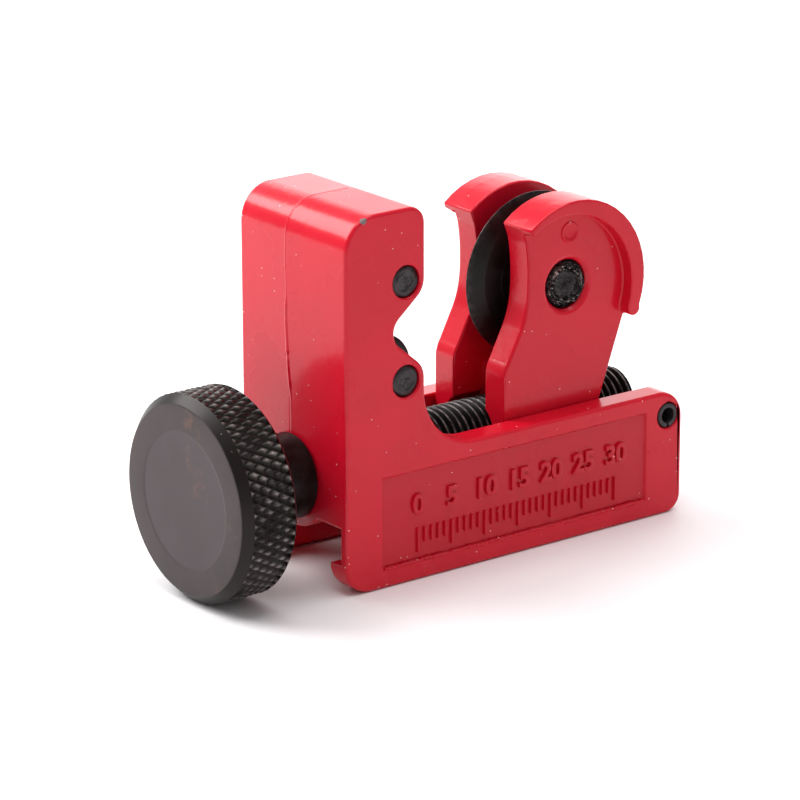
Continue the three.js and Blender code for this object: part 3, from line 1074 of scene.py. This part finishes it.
class CUTTER_OT_feed_screw(bpy.types.Operator):
    """The feed screw with its right-hand thread, shoulder and stub, and the ring that keeps it."""

    bl_idname = "cutter.feed_screw"
    bl_label = "Feed screw"

    def execute(self, context):
        sizes = context.scene.cutter_sizes
        pitch = sizes.thread_pitch
        depth = sizes.thread_depth
        low, high = corners_of("feed_screw")
        _, axis_y, axis_z = middle_of("feed_screw")
        block = corners_of("frame")[0][0]
        ring_low, ring_high = corners_of("retaining_ring")
        crest_radius = 4.0 * MM
        stub_radius = 3.0 * MM
        shoulder_radius = 5.1 * MM
        groove_radius = 3.3 * MM
        chamfer = 0.75 * MM
        stub_end = block - 8.05 * MM
        shoulder_end = block - 0.3 * MM
        groove_start = ring_low[0] - 0.05 * MM
        groove_end = ring_high[0] + 0.05 * MM
        thread_start = groove_end + 0.1 * MM
        outline = [
            (low[0], 0.0),
            (low[0], stub_radius),
            (stub_end, stub_radius),
            (stub_end, shoulder_radius),
            (shoulder_end, shoulder_radius),
            (shoulder_end, crest_radius),
            (groove_start, crest_radius),
            (groove_start, groove_radius),
            (groove_end, groove_radius),
            (groove_end, crest_radius),
            (high[0] - chamfer, crest_radius),
            (high[0], crest_radius - chamfer),
            (high[0] - 0.05 * MM, crest_radius - 1.3 * MM),
            (high[0] - 0.12 * MM, 0.0),
        ]
        profile = finely(rounded(outline, 0.08 * MM, steps=2), 0.075 * MM)

        def cut_thread(along, radius, angle):
            """The cut is 0 on a crest and `depth` in a root: a wave over along / pitch - turns."""
            phase = np.mod((along - low[0]) / pitch - angle / TURN, 1.0)
            height = smoothly(np.abs(2 * phase - 1), 0.16, 0.9) ** 0.8
            inside = smoothly(along, thread_start, thread_start + 0.8 * MM)
            left = crest_radius - depth * (1 - height)
            return inside * np.minimum(left - radius, 0.0) * (radius > crest_radius - 1.0 * MM)

        points, faces = turned(profile, (0, axis_y, axis_z), "x", 64, swell=cut_thread)
        radial = np.hypot(points[:, 1] - axis_y, points[:, 2] - axis_z)
        # Crest value: thread crests rubbed bare and painted with glints of light; 0.2 on the plain
        # parts and 0 on the shoulder.
        crest_rub_and_glint = smoothly(radial, crest_radius - 0.2 * MM, crest_radius)
        on_shoulder = np.abs(radial - shoulder_radius) < 0.02 * MM
        crest = np.where(points[:, 0] > thread_start, crest_rub_and_glint, 0.2) * ~on_shoulder
        name = "feed_screw"
        screw = (points, faces)
        add_surface(
            name + "_threaded", screw, "screw_steel", name, [name], "black_steel", 70.0, crest=crest
        )
        ring = "retaining_ring"
        add_softened(ring, ring + "_stamped", "screw_steel", name, 0.05 * MM)
        return {"FINISHED"}


class CUTTER_OT_knurled_knob(bpy.types.Operator):
    """The knob: a chamfered face with a faint turned circle, and a diamond knurl round its side."""

    bl_idname = "cutter.knurled_knob"
    bl_label = "Knurled knob"

    def execute(self, context):
        sizes = context.scene.cutter_sizes
        count = sizes.knurl_count
        length = sizes.knurl_length
        depth = sizes.knurl_depth
        low, high = corners_of("knurled_knob")
        _, axis_y, axis_z = middle_of("knurled_knob")
        radius = half_size_of("knurled_knob")[2]
        face_chamfer = 1.1 * MM
        back_chamfer = 0.6 * MM
        bore_radius = 3.05 * MM
        bore_end = low[0] + 2.05 * MM
        face_sunk = low[0] + 0.05 * MM
        knurl_start = low[0] + face_chamfer
        knurl_end = high[0] - back_chamfer
        steps = 10
        front = [
            (face_sunk, 0.0),
            (face_sunk, 8.0 * MM),
            (low[0], 8.25 * MM),
            (low[0], radius - face_chamfer),
            (knurl_start - 0.04 * MM, radius - 0.05 * MM),
        ]
        back = [
            (knurl_end + 0.04 * MM, radius - 0.05 * MM),
            (high[0], radius - back_chamfer),
            (high[0], bore_radius),
            (bore_end, bore_radius),
            (bore_end, 0.0),
        ]
        rows = np.arange(knurl_start, knurl_end, length / steps)
        side = np.stack([rows, np.full(len(rows), radius)], axis=1)
        profile = np.vstack([rounded(front, 0.14 * MM), side, rounded(back, 0.12 * MM)])

        def diamond(along, angle):
            """The lower of two waves over count * turns +- along / length, cut flat on top."""
            turns = count * angle / TURN
            travel = (along - knurl_start) / length
            first = np.abs(2 * np.mod(turns + travel, 1.0) - 1)
            second = np.abs(2 * np.mod(turns - travel, 1.0) - 1)
            return np.clip(1.25 * np.minimum(0.2 + 0.8 * first, second), 0.0, 1.0)

        def knurl(along, distance, angle):
            """Cut by depth * (1 - diamond) on the side, and by nothing on the faces."""
            on_rows = (along > knurl_start - 0.001 * MM) & (along < knurl_end)
            cut = -depth * (1 - diamond(along, angle))
            return np.where(on_rows & (distance > radius * 0.99), cut, 0.0)

        points, faces = turned(profile, (0, axis_y, axis_z), "x", count * steps, swell=knurl)
        x = points[:, 0]
        y = points[:, 1] - axis_y
        z = points[:, 2] - axis_z
        radial = np.hypot(y, z)
        on_side = (x > knurl_start - 0.01 * MM) & (x < knurl_end) & (radial > radius - 1.2 * depth)
        edge = radius - face_chamfer
        values = {
            # crest: the knurl's diamond tips, where wear and painted glints of light go.
            "crest": np.where(on_side, diamond(x, np.arctan2(z, y)), 0.0),
            "knurled": smoothly(radial, edge - 0.02 * MM, edge + 0.1 * MM),
        }
        knob = (points, faces)
        nodes = ["knurled_knob"]
        add_surface(
            "knurled_knob_turned", knob, "knob_oxide", "feed_screw", nodes, "knob_steel", 24.0, **values
        )
        return {"FINISHED"}


# Stage


def facing(side, up, back, place):
    """A matrix whose columns are these three axes and the place."""
    turn = np.eye(4)
    turn[:3] = np.stack([side, up, back, place], axis=1)
    return Matrix(turn.tolist())


def add_panel_light(name, place, target, width, height, watts):
    """A soft rectangular lamp at `place` that looks at `target`."""
    lamp = bpy.data.lights.new(name, "AREA")
    lamp.shape = "RECTANGLE"
    lamp.size = width
    lamp.size_y = height
    lamp.energy = watts
    holder = bpy.data.objects.new(name, lamp)
    bpy.context.scene.collection.objects.link(holder)
    away = np.array(place, float) - np.array(target, float)
    away /= np.linalg.norm(away)
    side = np.cross((0.0, 0.0, 1.0), away)
    side /= np.linalg.norm(side)
    holder.matrix_world = facing(side, np.cross(away, side), away, place)


CAMERA_PLACE = np.array([-274.119, -353.327, 160.840]) * MM
CAMERA_RIGHT = (0.79226944, -0.61017017, -0.00122774)
CAMERA_UP = (0.18664777, 0.24043430, 0.95255129)
CAMERA_BACK = (-0.58092319, -0.75490643, 0.30437565)
CAMERA_LENS = 178.753
SKY_COLOUR = (1.0, 0.985, 0.99, 1.0)
SKY_STRENGTH = 0.43


class CUTTER_OT_stage(bpy.types.Operator):
    """Floor, lamps, sky and camera."""

    bl_idname = "cutter.stage"
    bl_label = "Stage"

    def execute(self, context):
        scene = context.scene
        distance = np.concatenate([[0.0], np.geomspace(0.05, 3.0, 18)])
        profile = np.stack([0 * distance - 0.02 * MM, distance], axis=1)
        points, faces = turned(profile, ORIGIN, "z", 64)
        quads, fan = (group[:, ::-1].tolist() for group in faces)
        mesh = bpy.data.meshes.new("floor")
        mesh.from_pydata(points.tolist(), [], quads + fan)
        mesh.materials.append(material_for("floor_white"))
        floor = bpy.data.objects.new("floor", mesh)
        scene.collection.objects.link(floor)
        world = bpy.data.worlds.new("studio")
        world.use_nodes = True
        sky = world.node_tree.nodes["Background"].inputs
        sky["Color"].default_value = SKY_COLOUR
        sky["Strength"].default_value = SKY_STRENGTH
        scene.world = world
        add_panel_light("key", (-0.25, 0.35, 0.38), (-0.05, 0.05, 0.0), 0.36, 0.36, 3.3)
        add_panel_light("top", (0.05, 0.0, 0.8), ORIGIN, 0.7, 0.7, 4.8)
        add_panel_light("backdrop", (0.62, 0.8, 0.3), (0.0, 0.0, 0.05), 1.4, 0.7, 5.2)
        lens = bpy.data.cameras.new("camera")
        lens.sensor_width = 36.0
        lens.lens = CAMERA_LENS
        lens.clip_start = 0.01
        camera = bpy.data.objects.new("camera", lens)
        scene.collection.objects.link(camera)
        camera.matrix_world = facing(CAMERA_RIGHT, CAMERA_UP, CAMERA_BACK, CAMERA_PLACE)
        scene.camera = camera
        scene.view_settings.view_transform = "Standard"
        return {"FINISHED"}


# Add-on


class CUTTER_PT_panel(bpy.types.Panel):
    """Lists the cutter's pieces in the sidebar, in the order they are built."""

    bl_idname = "CUTTER_PT_panel"
    bl_label = "Pipe Cutter"
    bl_space_type = "VIEW_3D"
    bl_region_type = "UI"
    bl_category = "Cutter"

    def draw(self, context):
        column = self.layout.column()
        for operator in OPERATORS:
            column.operator(operator.bl_idname)
        for settings in (context.scene.cutter_sizes, context.scene.cutter_colours):
            for name in settings.bl_rna.properties.keys():
                if name not in ("rna_type", "name"):
                    column.prop(settings, name)


OPERATORS = (
    CUTTER_OT_frame_casting,
    CUTTER_OT_graduated_scale,
    CUTTER_OT_parting_line,
    CUTTER_OT_carriage_casting,
    CUTTER_OT_rollers,
    CUTTER_OT_stop_pins,
    CUTTER_OT_cutter_wheel,
    CUTTER_OT_wheel_axle,
    CUTTER_OT_feed_screw,
    CUTTER_OT_knurled_knob,
    CUTTER_OT_stage,
)
CLASSES = (CutterSizes, CutterColours) + OPERATORS + (CUTTER_PT_panel,)


def register():
    for item in CLASSES:
        bpy.utils.register_class(item)
    bpy.types.Scene.cutter_sizes = bpy.props.PointerProperty(type=CutterSizes)
    bpy.types.Scene.cutter_colours = bpy.props.PointerProperty(type=CutterColours)


def unregister():
    del bpy.types.Scene.cutter_colours
    del bpy.types.Scene.cutter_sizes
    for item in reversed(CLASSES):
        bpy.utils.unregister_class(item)


def main():
    register()
    for operator in OPERATORS:
        name = operator.bl_idname.split(".")[1]
        getattr(bpy.ops.cutter, name)()


if __name__ == "__main__":
    main()
